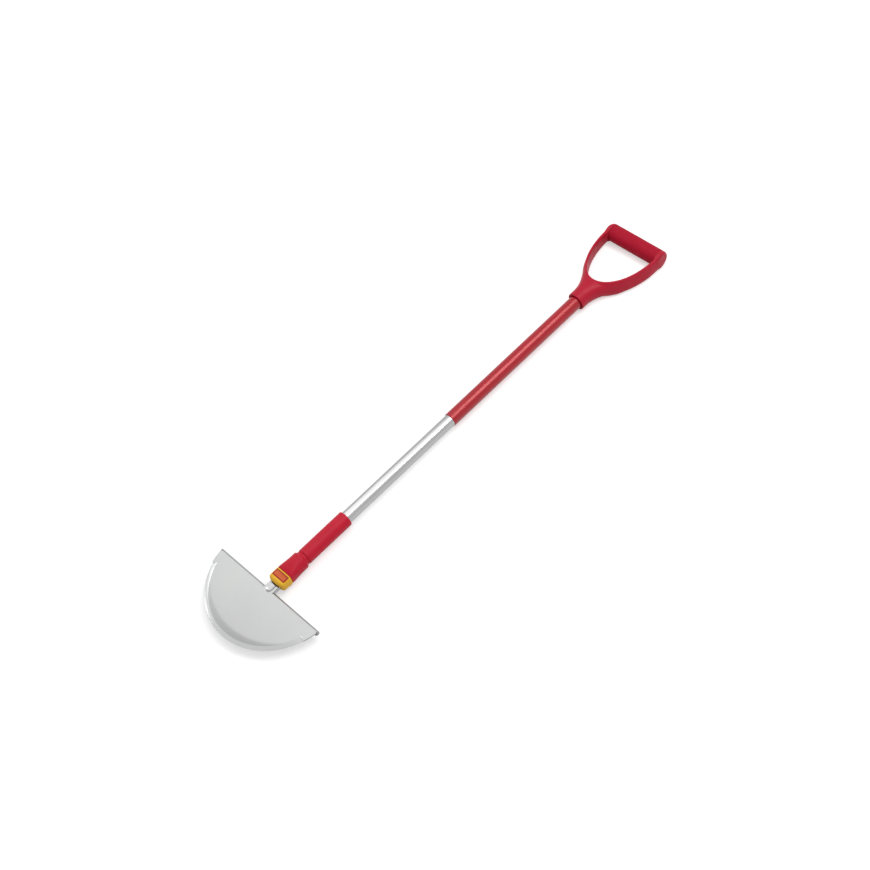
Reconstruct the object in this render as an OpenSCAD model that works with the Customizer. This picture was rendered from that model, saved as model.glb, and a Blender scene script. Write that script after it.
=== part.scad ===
// Half moon lawn edger: a quick-release blade on a tube shaft with a D-grip.
// The tool lies on its back. +X runs along the shaft to the grip, +Z is the front
// and +Y the left of the blade. The origin is on the ground under the middle.
// Inside the modules X counts from the mouth of the socket, and Y and Z from the
// axis of the shaft. Sizes are in millimetres.

/* [Blade] */
// Width of the blade across its two tips
blade_w = 225; // [190:1:260]
// Depth of the blade from its tread to the lowest point of its arc
blade_depth = 101.5; // [92:0.5:110]
// Thickness of the blade's sheet
blade_t = 2; // [1.6:0.1:3]
// Width of the dished margin at the lowest point of the arc
dish_w = 24; // [16:1:34]
// Drop of the dished margin at that point
dish_drop = 0.9; // [0.4:0.1:1.1]
// Width of the ground cutting edge
edge_w = 7; // [5:0.5:10]
// Steel left standing at the cutting edge
edge_t = 0.5; // [0.3:0.1:0.8]
// Depth that grinding takes off the outline
edge_step = 1.2; // [0.6:0.1:2]
// Length of the arc left unground below each tip
edge_start = 28; // [18:1:45]
// Outer diameter of the rolled foot tread
tread_d = 8; // [7:0.5:11]
// Gap from the tread to the mouth of the socket
neck_gap = 10; // [7:0.5:16]
// Gap from the neck tab to the mouth of the socket
tab_gap = 3; // [1:0.5:5]
// Width of the neck tab between the two treads
tab_w = 24; // [22:1:32]
// Radius of the fillets beside the neck tab
tab_r = 4; // [4:0.5:8]
// Depth of the groove pressed into the neck
groove_drop = 2.2; // [1.2:0.1:2.8]
// Length of the groove below the tread
groove_l = 6; // [6:1:30]

/* [Tang] */
// Width of the pressed tang
tang_w = 18; // [15:0.5:22]
// Depth of the tang's trough, front to back
tang_h = 7; // [6:0.5:9]
// Thickness of the tang's steel
tang_t = 2; // [1.6:0.1:2.6]
// Height of the tang's open side over the axis
tang_top = 1.5; // [0:0.5:3]
// Length of the tang inside the socket
tang_reach = 48; // [40:1:51]
// Straight length of the tang on the back of the blade
tang_lap = 45; // [30:1:60]

/* [Latch] */
// Diameter of the latch spring's wire
wire_d = 1.8; // [1.4:0.1:2.2]
// Distance from the mouth to the latch bar
latch_x = 12; // [9:0.5:13]
// Radius of the wire's bends, on its centre line
wire_bend = 2; // [1.6:0.1:2.4]
// Length of the anchor hooks at the ends of the wire
hook_l = 4; // [3:0.5:6]
// Travel of the release button
press = 2.5; // [2.4:0.1:3.5]

/* [Socket] */
// Length of the release button along the shaft
button_l = 22; // [20:0.5:28]
// Room left under the button's roof when it is pressed
button_room = 0.9; // [0.4:0.1:3]
// Reach of the button's cheeks below the nose
button_skirt = 2.6; // [2.2:0.2:4]
// Thickness of the button's walls
button_t = 2.3; // [1.8:0.1:2.8]
// Radius of the corners of the mouth's section
mouth_r = 6; // [4:0.5:7]
// Radius of the corners at the button's lower end, seen from the front
button_r = 9; // [5:0.5:9]
// Radius of the front and back edges of that end
button_edge = 7; // [3:0.5:7]
// Length of the inlaid pad on the button
pad_w = 25; // [18:0.5:26]
// Width of the inlaid pad along the shaft
pad_l = 11.5; // [8:0.5:12]
// Distance from the button's upper end to the pad
pad_gap = 2.2; // [1.5:0.1:4]
// Depth that the pad is let into the button
pad_t = 1; // [0.6:0.1:1.4]
// Amount that the pad stands proud
pad_proud = 0.3; // [0.1:0.1:0.6]
// Wall of the nose beside and below the tang
nose_wall = 2.2; // [1.8:0.1:2.6]
// Length of the flare above the button
flare_l = 33; // [31:1:50]
// Height of the shoulder step over the lower sleeve
shoulder_step = 2; // [1.6:0.1:3]
// Length of the waist between the shoulder and the lower sleeve
waist_l = 7; // [5:0.5:10]
// Depth of the groove in the waist
waist_step = 0.7; // [0.3:0.1:1.2]
// Length of the spigot inside the shaft tube
spigot_l = 46; // [34:1:60]
// Wall of the spigot
spigot_wall = 3; // [2:0.1:3.6]
// Length of the lower sleeve
ferrule_l = 89; // [70:1:110]
// Wall of the lower sleeve
ferrule_wall = 2.4; // [1.8:0.1:3.2]

/* [Shaft] */
// Outer diameter of the shaft tube
tube_d = 21.3; // [19:0.1:25]
// Wall of the shaft tube
tube_wall = 1.2; // [0.9:0.1:1.8]
// Length of tube left bare
bare_l = 233; // [150:1:300]
// Length of the soft sleeve below the grip
cover_l = 301; // [200:1:400]
// Wall of the soft sleeve
cover_wall = 1; // [0.7:0.1:1.5]

/* [Grip] */
// Wall of the grip's collar
collar_wall = 4.2; // [3.2:0.1:5.5]
// Depth of the grip's socket for the shaft
collar_l = 29; // [26:1:34]
// Distance from the collar's end to the bottom of the hand opening
throat_l = 48; // [44:1:60]
// Length of the hand opening, from its bottom to the bar
opening_l = 90; // [76:1:105]
// Width of the hand opening at the bar
opening_w = 101; // [90:1:115]
// Thickness of each arm where it meets the bar
arm_t = 8; // [6.5:0.5:11]
// Lean of the arms' outer faces: further out by this at the back, less at the front
arm_lean = 1.8; // [0:0.1:3]
// Thickness of the arms' band under the hand opening
web_t = 8; // [6:0.5:12]
// Depth of the arms, front to back, under the hand opening
web_depth = 26; // [22:0.5:28]
// Depth of the arms, front to back, at the bar
arm_depth = 25; // [20:0.5:25]
// Diameter of the hand bar
bar_d = 30; // [26:0.5:34]
// Diameter of the core inside the hand bar
core_d = 18; // [13:0.5:21]
// Radius of the rounded ends of the hand bar
bar_r = 5; // [2:0.5:6]

/* [Rivets] */
// Diameter of the rivets' shanks
rivet_d = 4.8; // [4:0.1:5]
// Diameter of the rivets' heads
rivet_head_d = 9; // [8:0.5:10]
// Height of the rivets' heads
rivet_head_h = 1.5; // [1:0.1:2]
// Distance from the lower sleeve's end to its rivet
ferrule_rivet_x = 24; // [16:1:34]
// Distance from the collar's end to its rivet
collar_rivet_x = 14; // [11:1:18]

/* [Hidden] */
$fn = 96;

// Fits: a moulded press fit, a sliding fit and the room a cut runs past a face
fit = 0.1;
slide = 0.3;
past = 1;

// The blade's arc runs through both tips and the lowest point
tread_x = -neck_gap;
blade_low = tread_x - blade_depth;
blade_r = (pow(blade_w / 2, 2) + pow(blade_depth, 2)) / (2 * blade_depth);
blade_cx = blade_low + blade_r;
blade_back = tang_top;
blade_front = tang_top + blade_t;
// The dish's inner edge runs through both tips too, so the margin is a crescent
dish_depth = blade_depth - dish_w;
dish_r = (pow(blade_w / 2, 2) + pow(dish_depth, 2)) / (2 * dish_depth);
dish_cx = tread_x - dish_depth + dish_r;
dish_steps = 6;
edge_slope = (blade_t - edge_t) / edge_w;
edge_angle = asin(min(1, blade_w / 2 / blade_r)) - edge_start / blade_r * 180 / PI;
// The tread's roll is centred where the sheet turns back
roll_x = tread_x - tread_d / 2;
roll_z = blade_front - tread_d / 2;
roll_start = tab_w / 2 + tab_r;
// The neck's groove nests between the walls of the tang behind it
groove_half = tang_w / 2 - tang_t - slide;
groove_r = (pow(groove_half, 2) + pow(groove_drop, 2)) / (2 * groove_drop);
groove_z = blade_back - groove_drop + groove_r;
groove_end = tread_x - groove_l;

// The socket is sized from the tang outwards
tang_back = tang_top - tang_h;
pocket_w = tang_w + 2 * slide;
nose_w = pocket_w + 2 * nose_wall;
nose_top = tang_top + slide + nose_wall;
nose_back = tang_back - slide - nose_wall;
wire_y = nose_w / 2 + slide + wire_d / 2;
wire_z = tang_back + wire_d / 2 - 2 * fit;
cheek_in = wire_y + wire_d / 2 + slide;
mouth_w = 2 * (cheek_in + button_t);
mouth_front = nose_top + press + button_room + button_t + pad_t;
mouth_back = nose_back - button_skirt;
nose_x = button_t + slide;
nose_r = 4;
flare_x = button_l + slide;
shoulder_x = flare_x + flare_l;
ferrule_x = shoulder_x + waist_l;
wire_end = tang_reach + slide + wire_d;
hook_y = wire_y - wire_bend - hook_l;

// The shaft, from the lower sleeve up
ferrule_bore = tube_d + 2 * fit;
ferrule_d = ferrule_bore + 2 * ferrule_wall;
shoulder_d = ferrule_d + 2 * shoulder_step;
waist_d = ferrule_d - 2 * waist_step;
tube_in = tube_d - 2 * tube_wall;
spigot_d = tube_in - 2 * fit;
spigot_in = spigot_d - 2 * spigot_wall;
cover_in = tube_d + 2 * fit;
cover_d = cover_in + 2 * cover_wall;
cover_x = ferrule_x + ferrule_l + bare_l;
collar_x = cover_x + cover_l;
shaft_end = collar_x + collar_l;
collar_bore = cover_d + 2 * fit;
collar_d = collar_bore + 2 * collar_wall;
throat_x = collar_x + 0.45 * collar_l;

// The D of the grip lies between two half ellipses
arch_x = collar_x + throat_l;
opening_x = arch_x + opening_l;
bar_x = opening_x + bar_d / 2;
outer_w = opening_w + 2 * arm_t;
outer_x = bar_x - bar_d / 4;
outer_l = outer_x - arch_x + web_t;
arm_last = 92;
arm_rings = 48;
arm_sides = 20;
throat_end = arch_x + 1.5 * web_t;
// How slowly the throat starts to open, and how fast it then gains the arms' width
throat_start = 2.05;
throat_gain = 5.4;
arm_square = 0.62;
ring_sides = 48;
throat_rings = 10;
flare_rings = 10;
bar_face = opening_w / 2 * sin(arm_last) - slide;

// Rivet seats, measured back from the axis
rivet_bore = rivet_d + 2 * fit;
ferrule_seat = ferrule_d / 2 - rivet_head_h / 2;
collar_seat = collar_d / 2 - rivet_head_h - slide;

// The tool's own box, which places it on the ground
ground = max(collar_d, bar_d, shoulder_d, 2 * abs(mouth_back)) / 2;
middle_x = (blade_low + edge_step + bar_x + bar_d / 2) / 2;

red = [0.74, 0.17, 0.24];
yellow = [0.88, 0.74, 0.2];
steel = [0.79, 0.8, 0.8];
bright = [0.72, 0.73, 0.75];

// Places a piece, drawn from the socket's mouth and the shaft's axis, on the ground
module placed() {
    translate([-middle_x, 0, ground]) children();
}

// Turns a drawing in Y and Z to face up the shaft at a distance from the mouth
module at_x(x) {
    translate([x, 0, 0]) rotate([90, 0, 90]) children();
}

// A bar along the shaft from x0 to x1
module rod(x0, x1, d) {
    at_x(x0) cylinder(d = d, h = x1 - x0);
}

// A bar across the tool from y0 to y1, at a height over the axis
module cross_rod(x, y0, y1, z, d) {
    translate([x, y0, z]) rotate([-90, 0, 0]) cylinder(d = d, h = y1 - y0);
}

// A block between two corners
module block(low, high) {
    translate(low) cube(high - low);
}

// The same thing on the left and on the right
module both_sides() {
    children();
    mirror([0, 1, 0]) children();
}

// A rectangle with round corners, from [x0, y0] to [x1, y1]
module round_rect(x0, y0, x1, y1, r) {
    translate([x0 + r, y0]) square([x1 - x0 - 2 * r, y1 - y0]);
    translate([x0, y0 + r]) square([x1 - x0, y1 - y0 - 2 * r]);
    for (x = [x0 + r, x1 - r], y = [y0 + r, y1 - r]) translate([x, y]) circle(r);
}

// A share of the way from a to b
function mix(a, b, s) = a + (b - a) * s;

// A number drawn towards the corners of a box, which squares a round section off softly
function soft(v, e) = sign(v) * pow(abs(v), e);

// A closed surface through rings of points that all run the same way round
module loft(rings) {
    n = len(rings[0]);
    last = len(rings) - 1;
    function corner(i, k) = i * n + k % n;
    sides = [
        for (i = [0:last - 1], k = [0:n - 1])
            each [
                [corner(i, k), corner(i + 1, k + 1), corner(i, k + 1)],
                [corner(i, k), corner(i + 1, k), corner(i + 1, k + 1)]
            ]
    ];
    lower_end = [for (k = [0:n - 1]) corner(0, k)];
    upper_end = [for (k = [n - 1:-1:0]) corner(last, k)];
    polyhedron([for (ring = rings) each ring], concat(sides, [lower_end, upper_end]));
}

// The section of the socket's mouth, in Y and Z
module mouth_section() {
    round_rect(-mouth_w / 2, mouth_back, mouth_w / 2, mouth_front, mouth_r);
}

// The sheet's upper or lower face as an outline out from the dish's axis
function dish_face(z) = [
    for (i = [0:dish_steps])
        let (s = i / dish_steps * 1.2)
        [dish_r + s * dish_w, z - dish_drop * s * s]
];

// The dished sheet before it is cut to its outline
module dished_sheet() {
    outline = concat(
        [[0, blade_back]], dish_face(blade_back),
        [for (i = [dish_steps:-1:0]) dish_face(blade_front)[i]], [[0, blade_front]]
    );
    translate([dish_cx, 0, 0]) rotate_extrude() polygon(outline);
}

// The plan of the sheet: the half moon and the neck tab with its two fillets
module blade_plan() {
    intersection() {
        translate([blade_cx, 0]) circle(blade_r);
        translate([blade_low, -blade_w]) square([roll_x - blade_low, 2 * blade_w]);
    }
    difference() {
        translate([roll_x - past, -roll_start]) square([tab_r + past, 2 * roll_start]);
        for (side = [-1, 1]) translate([roll_x + tab_r, side * roll_start]) circle(tab_r);
    }
    translate([roll_x - past, -tab_w / 2]) square([past - tab_gap - roll_x, tab_w]);
}

// One rolled foot tread, turned back three quarters round from the sheet's edge
module tread() {
    translate([roll_x, roll_start, roll_z]) rotate([-90, 0, 0])
        linear_extrude(blade_w / 2 - roll_start)
        difference() {
            circle(d = tread_d);
            circle(d = tread_d - 2 * blade_t);
            translate([-tread_d, -tread_d]) square(tread_d);
        }
}

// What the grinding takes off: a step in the outline and the slope of the edge
module ground_away() {
    inner = blade_r - edge_step - edge_w;
    slope_end = blade_r + past;
    low = blade_back + edge_t;
    translate([blade_cx, 0, 0]) rotate([0, 0, 180 - edge_angle]) {
        rotate_extrude(angle = 2 * edge_angle) polygon([
            [inner, blade_front],
            [inner + edge_w, low],
            [slope_end, low - (slope_end - inner - edge_w) * edge_slope],
            [slope_end, blade_front + past],
            [inner, blade_front + past]
        ]);
        rotate_extrude(angle = 2 * edge_angle)
            translate([blade_r - edge_step, blade_back - tread_d])
            square([edge_step + past, tread_d + blade_t]);
    }
}

// The round form of the neck's groove, run out in a ball at its lower end
module groove_form(r, x1) {
    translate([0, 0, groove_z]) {
        rod(groove_end, x1, 2 * r);
        translate([groove_end, 0, 0]) sphere(r);
    }
}

// The sheet pressed down behind the groove
module groove_shell() {
    intersection() {
        difference() {
            groove_form(groove_r, -tab_gap);
            groove_form(groove_r - blade_t, past);
        }
        block([blade_low, -groove_r, groove_z - groove_r - past], [0, groove_r, blade_front]);
    }
}

// The half moon blade: dished sheet, ground edge, pressed neck and two rolled treads
module blade() {
    color(steel) placed() {
        difference() {
            intersection() {
                dished_sheet();
                translate([0, 0, blade_back - tread_d]) linear_extrude(2 * tread_d) blade_plan();
            }
            ground_away();
            groove_form(groove_r - blade_t, past);
        }
        groove_shell();
        both_sides() tread();
    }
}

// Half of the trough's section, out from its middle
module trough_half() {
    translate([0, tang_back]) square([tang_w / 2, tang_t]);
    translate([tang_w / 2 - tang_t, tang_back]) square([tang_t, tang_h]);
}

// The pressed tang: a trough open to the front, closed round at its lower end
module tang() {
    tail = tread_x - tang_lap;
    color(bright) placed() difference() {
        union() {
            at_x(tail) linear_extrude(tang_reach - tail) {
                trough_half();
                mirror([1, 0]) trough_half();
            }
            translate([tail, 0, 0]) rotate([0, 0, 90]) rotate_extrude(angle = 180) trough_half();
        }
        block(
            [latch_x - wire_d / 2 - slide, -tang_w, tang_back - past],
            [latch_x + wire_d / 2 + slide, tang_w, tang_back + tang_t]
        );
    }
}

// The button's outside: the mouth's section with its lower end rounded all round
module button_form() {
    intersection() {
        linear_extrude_x(0, button_l) mouth_section();
        translate([0, 0, mouth_back - past]) linear_extrude(mouth_front - mouth_back + 2 * past)
            round_rect(0, -mouth_w / 2, 2 * button_l, mouth_w / 2, button_r);
        rotate([90, 0, 0]) linear_extrude(2 * mouth_w, center = true)
            round_rect(0, mouth_back, 2 * button_l, mouth_front, button_edge);
    }
}

// A drawing in Y and Z drawn out from x0 to x1
module linear_extrude_x(x0, x1) {
    at_x(x0) linear_extrude(x1 - x0) children();
}

// The seat of the pad in the front of the button, grown by a fit
module pad_form(grow) {
    x1 = button_l - pad_gap + grow;
    translate([0, 0, mouth_front - pad_t]) linear_extrude(pad_t + pad_proud)
        round_rect(x1 - pad_l - 2 * grow, -pad_w / 2 - grow, x1, pad_w / 2 + grow, pad_t);
}

// Release button: a hollow cap over the nose, open to the back for the tang
module release_button() {
    rib_x = latch_x + wire_bend + slide;
    rib_end = button_l - button_t;
    lip_top = nose_back - fit;
    color(yellow) placed() difference() {
        union() {
            difference() {
                button_form();
                translate([0, 0, mouth_back - past])
                    linear_extrude(mouth_front - pad_t - button_t - mouth_back + past)
                    round_rect(button_t, -cheek_in, 2 * button_l, cheek_in, button_r - button_t);
            }
            // Push ribs that stand on the wire, and the lips that hook under the nose
            both_sides() {
                block([rib_x, nose_w / 2 - nose_wall / 3, wire_z + wire_d / 2 + fit],
                    [rib_end, cheek_in + fit, mouth_front - pad_t - button_t + fit]);
                block([rib_x, nose_w / 2 - nose_wall / 2, mouth_back + button_skirt / 3],
                    [rib_end, cheek_in + fit, lip_top]);
            }
        }
        // The way for the tang, with room for the button's travel
        block([-past, -pocket_w / 2, mouth_back - past],
            [nose_x, pocket_w / 2, tang_top + press + slide]);
        pad_form(fit);
    }
}

// The bare inlay in the front of the button
module button_pad() {
    color(red) placed() pad_form(0);
}

// A quarter bend of the wire about a centre, from an angle onwards
module wire_corner(x, y, turn) {
    translate([x, y, wire_z]) rotate([0, 0, turn]) rotate_extrude(angle = 90)
        translate([wire_bend, 0]) circle(d = wire_d);
}

// Latch spring: one bent wire, its bar across the tang and two legs back to hooks
module latch_spring() {
    color(bright) placed() {
        cross_rod(latch_x, -wire_y + wire_bend, wire_y - wire_bend, wire_z, wire_d);
        both_sides() {
            wire_corner(latch_x + wire_bend, wire_y - wire_bend, 90);
            translate([0, wire_y, wire_z]) rod(latch_x + wire_bend, wire_end - wire_bend, wire_d);
            wire_corner(wire_end - wire_bend, wire_y - wire_bend, 0);
            cross_rod(wire_end, hook_y, wire_y - wire_bend, wire_z, wire_d);
        }
    }
}

// Room for the latch spring in the housing: slots to flex in and seats for its hooks
module spring_room() {
    top = wire_z + wire_d / 2 + slide;
    low = wire_z - wire_d / 2 - press - slide;
    half = wire_d / 2 + slide;
    block([latch_x - half, -nose_w, nose_back - past], [latch_x + half + wire_bend, nose_w, top]);
    both_sides() {
        block([nose_x, nose_w / 2, low], [wire_end - wire_bend, wire_y + half, top]);
        block([wire_end - 2 * wire_bend, wire_y - wire_bend - fit, wire_z - half],
            [wire_end + half, wire_y + half, top]);
        cross_rod(wire_end, hook_y - fit, wire_y, wire_z, wire_d + 2 * fit);
    }
}

// A section across the socket with round corners: half width, front, back and radius
function section_ring(x, half, front, back, r) = [
    for (k = [0:ring_sides - 1])
        let (p = 360 * (k + 0.5) / ring_sides)
        [
            x,
            sign(cos(p)) * (half - r) + r * cos(p),
            (sin(p) > 0 ? front - r : back + r) + r * sin(p)
        ]
];

// The flare, which draws in early from the mouth's section to the round shoulder
module flare() {
    round_r = shoulder_d / 2;
    loft([
        for (i = [0:flare_rings])
            let (s = i / flare_rings, drawn = 1 - pow(1 - s, 3))
            section_ring(
                flare_x + flare_l * s,
                mix(mouth_w / 2, round_r, drawn),
                mix(mouth_front, round_r, drawn),
                mix(mouth_back, -round_r, drawn),
                mix(mouth_r, round_r, drawn)
            )
    ]);
}

// Socket housing: nose round the tang, flare, shoulder and a spigot into the tube
module socket_housing() {
    spigot_end = ferrule_x + spigot_l;
    core_x = tang_reach + slide;
    color(red) placed() difference() {
        union() {
            translate([0, 0, nose_back]) linear_extrude(nose_top - nose_back)
                round_rect(nose_x, -nose_w / 2, flare_x + past + nose_r, nose_w / 2, nose_r);
            flare();
            at_x(shoulder_x - fit) cylinder(d1 = shoulder_d - 4 * fit, d2 = waist_d, h = waist_l / 2);
            rod(shoulder_x, ferrule_x, waist_d);
            rod(ferrule_x - past, spigot_end, spigot_d);
        }
        // The pocket for the tang
        block([-past, -pocket_w / 2, tang_back - slide], [core_x, pocket_w / 2, tang_top + slide]);
        spring_room();
        // Grooves that guide the button's push ribs
        both_sides() block(
            [latch_x, nose_w / 2 - nose_wall / 3 - fit, wire_z + wire_d / 2 - press - slide],
            [button_l - button_t + slide, nose_w, mouth_front]
        );
        rod(ferrule_x, spigot_end + past, spigot_in);
        rivet_way(ferrule_x + ferrule_rivet_x);
    }
}

// The hole for a rivet through the back of the shaft
module rivet_way(x) {
    translate([x, 0, -ground - past]) cylinder(d = rivet_bore, h = ground);
}

// The flat seat for a rivet's head, cut in from the back
module rivet_seat(x, depth) {
    translate([x, 0, -2 * ground]) cylinder(d = rivet_head_d + 2 * slide, h = 2 * ground - depth);
}

// A blind rivet from its head at the back to its bulb inside the shaft
module rivet(x, head, inside) {
    bulb_r = rivet_d * 0.72;
    bulb = -sqrt(pow(inside / 2, 2) - pow(bulb_r, 2)) + slide;
    crown = rivet_head_d * 0.3;
    translate([x, 0, 0]) difference() {
        rotate_extrude() polygon([
            [0, -head - rivet_head_h],
            [crown, -head - rivet_head_h],
            [crown + rivet_head_h * 0.7, -head - rivet_head_h * 0.7],
            [rivet_head_d / 2, -head],
            [rivet_d / 2, -head],
            [rivet_d / 2, bulb],
            [bulb_r, bulb],
            [bulb_r, bulb + rivet_d / 3],
            [rivet_d / 2, bulb + rivet_d / 2],
            [0, bulb + rivet_d / 2]
        ]);
        translate([0, 0, -head - rivet_head_h - past])
            cylinder(d = rivet_d * 0.55, h = past + rivet_head_h);
    }
}

// Lower sleeve: the moulded tube over the foot of the shaft, rounded at its upper end
module lower_sleeve() {
    upper = ferrule_x + ferrule_l;
    edge = ferrule_wall * 0.8;
    x = ferrule_x + ferrule_rivet_x;
    color(red) placed() difference() {
        union() {
            at_x(ferrule_x) cylinder(d1 = ferrule_d - edge, d2 = ferrule_d, h = edge / 2);
            rod(ferrule_x + edge / 2, upper - edge, ferrule_d);
            at_x(upper - edge) rotate_extrude() {
                square([ferrule_d / 2 - edge, edge]);
                intersection() {
                    translate([ferrule_d / 2 - edge, 0]) circle(edge);
                    square([ferrule_d, edge]);
                }
            }
        }
        rod(ferrule_x - past, upper + past, ferrule_bore);
        rivet_way(x);
        rivet_seat(x, ferrule_seat);
    }
}

// The rivet that holds the lower sleeve, the tube and the housing's spigot
module socket_rivet() {
    color(bright) placed() rivet(ferrule_x + ferrule_rivet_x, ferrule_seat, spigot_in);
}

// The drawn aluminium tube
module shaft_tube() {
    color(bright) placed() difference() {
        rod(ferrule_x, shaft_end, tube_d);
        rod(ferrule_x - past, shaft_end + past, tube_in);
        rivet_way(ferrule_x + ferrule_rivet_x);
        rivet_way(collar_x + collar_rivet_x);
    }
}

// The soft sleeve shrunk on the upper half of the tube
module shaft_sleeve() {
    color(red) placed() difference() {
        rod(cover_x, shaft_end, cover_d);
        rod(cover_x - past, shaft_end + past, cover_in);
        rivet_way(collar_x + collar_rivet_x);
    }
}

// Points of the D at an angle from the web: along its inner and its outer ellipse
function inner_at(a) = [opening_x - opening_l * cos(a), opening_w / 2 * sin(a)];
function outer_at(a) = [outer_x - outer_l * cos(a), outer_w / 2 * sin(a)];

// One ring of the band, in the plane through its inner and outer points
function arm_ring(a) =
    let (
        inner = inner_at(a),
        across = outer_at(a) - inner,
        lean = arm_lean / norm(across),
        depth = mix(web_depth, arm_depth, abs(a) / arm_last)
    )
    [
        for (k = [0:arm_sides - 1])
            let (
                p = 360 * k / arm_sides,
                front = soft(sin(p), arm_square),
                share = (1 + soft(cos(p), arm_square)) / 2 * (1 - lean * front),
                q = inner + across * share
            )
            [q[0], q[1], depth / 2 * front]
    ];

// Both arms as one band, swept round the hand opening
module arm_band() {
    loft([for (i = [0:arm_rings]) arm_ring(arm_last * (2 * i / arm_rings - 1))]);
}

// Half width of the throat, which opens out like a trumpet from the collar to the arms
function throat_half(x) =
    let (u = (x - throat_x) / (bar_x - throat_x))
    mix(collar_d / 2 - fit, outer_w / 2, 1 - pow(1 - pow(u, throat_start), throat_gain));

// One section of the throat, round at the collar and squared off towards the arms
function throat_ring(x) =
    let (s = (x - throat_x) / (throat_end - throat_x), square_off = mix(1, arm_square, s))
    [
        for (k = [0:ring_sides - 1])
            let (p = 360 * k / ring_sides, front = soft(sin(p), square_off))
            [
                x,
                soft(cos(p), square_off) * (throat_half(x) - arm_lean * s * front),
                front * mix(collar_d / 2 - fit, web_depth / 2, pow(s, 3))
            ]
    ];

// The throat between the collar and the arms, cut back inside their band
module throat() {
    inset = web_t / 2;
    difference() {
        loft([for (i = [0:throat_rings]) throat_ring(mix(throat_x, throat_end, i / throat_rings))]);
        translate([0, 0, -bar_d]) linear_extrude(2 * bar_d) polygon([
            for (i = [0:arm_rings])
                let (a = 90 * (2 * i / arm_rings - 1))
                [opening_x - (opening_l + inset) * cos(a), (opening_w / 2 + inset) * sin(a)]
        ]);
    }
}

// A rounded end of the hand bar, where an arm runs into it
module bar_end() {
    length = outer_w / 2 - bar_face;
    r = min(bar_r, length - fit);
    translate([bar_x, bar_face, 0]) rotate([-90, 0, 0]) rotate_extrude() {
        square([bar_d / 2, length - r]);
        square([bar_d / 2 - r, length]);
        intersection() {
            translate([bar_d / 2 - r, length - r]) circle(r);
            translate([0, length - r]) square([bar_d, r]);
        }
    }
}

// Grip yoke: collar on the shaft, web, two arms and the core of the hand bar
module grip_yoke() {
    edge = collar_wall / 3;
    x = collar_x + collar_rivet_x;
    color(red) placed() difference() {
        union() {
            at_x(collar_x) cylinder(d1 = collar_d - 2 * edge, d2 = collar_d, h = edge);
            rod(collar_x + edge, throat_x + fit, collar_d);
            throat();
            arm_band();
            cross_rod(bar_x, -bar_face - past, bar_face + past, 0, core_d);
            both_sides() bar_end();
        }
        rod(collar_x - past, shaft_end + slide, collar_bore);
        rivet_way(x);
        rivet_seat(x, collar_seat);
    }
}

// The soft cover moulded round the hand bar
module grip_cover() {
    half = bar_face - fit;
    color([0.68, 0.15, 0.2]) placed() difference() {
        cross_rod(bar_x, -half, half, 0, bar_d);
        cross_rod(bar_x, -half - past, half + past, 0, core_d + 2 * fit);
    }
}

// The rivet that holds the grip on the shaft
module grip_rivet() {
    color(bright) placed() rivet(collar_x + collar_rivet_x, collar_seat, tube_in);
}

blade();
tang();
release_button();
button_pad();
latch_spring();
socket_housing();
lower_sleeve();
socket_rivet();
shaft_tube();
shaft_sleeve();
grip_yoke();
grip_cover();
grip_rivet();
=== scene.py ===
# %% [markdown]
# # A half moon edger in a small studio
# This lesson dresses a lawn edging iron: a half moon blade, a push-button socket, a tube
# shaft and a D-grip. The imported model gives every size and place, and each cell below
# adds one piece or one finish on top of it. Lengths are metres in the scene. The shapes
# are drawn in millimetres from the mouth of the socket and the axis of the shaft, because
# those are the two places a maker would measure from.

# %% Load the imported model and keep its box
import math

import bpy
import bmesh
import numpy as np
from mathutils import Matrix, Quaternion, Vector


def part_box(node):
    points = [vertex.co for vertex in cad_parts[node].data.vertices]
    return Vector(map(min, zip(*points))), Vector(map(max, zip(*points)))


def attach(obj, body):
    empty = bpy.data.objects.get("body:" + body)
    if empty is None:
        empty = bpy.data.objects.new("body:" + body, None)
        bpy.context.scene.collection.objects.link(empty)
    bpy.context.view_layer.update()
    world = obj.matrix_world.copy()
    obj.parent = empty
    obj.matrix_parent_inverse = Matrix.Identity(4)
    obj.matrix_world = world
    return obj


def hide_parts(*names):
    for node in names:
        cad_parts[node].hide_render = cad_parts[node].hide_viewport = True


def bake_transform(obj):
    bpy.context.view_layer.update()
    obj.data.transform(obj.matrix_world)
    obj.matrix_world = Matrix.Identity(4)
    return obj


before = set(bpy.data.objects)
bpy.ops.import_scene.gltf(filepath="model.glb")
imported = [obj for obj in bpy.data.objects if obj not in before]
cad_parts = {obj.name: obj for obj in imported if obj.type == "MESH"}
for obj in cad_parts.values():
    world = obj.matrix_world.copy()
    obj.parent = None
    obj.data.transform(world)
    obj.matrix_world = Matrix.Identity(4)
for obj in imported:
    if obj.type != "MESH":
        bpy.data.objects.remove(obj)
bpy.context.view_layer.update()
scene = bpy.context.scene

# %% [markdown]
# ## Camera
# The photograph looks down on the tool from the blade's end, a little rolled. Such a view
# could be set by hand in the viewport. Here it is an orbit about an aim point on the
# shaft: turn, height, distance and roll are each one number that can be tried and read.

# %% Camera on its orbit
camera_turn = math.radians(-31.51)
camera_height = math.radians(53.63)
camera_roll = math.radians(17.0)
camera_distance = 2.357
camera_aim = Vector((-0.0233, -0.0013, 0.0167))
camera_lens = 61.6

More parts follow.
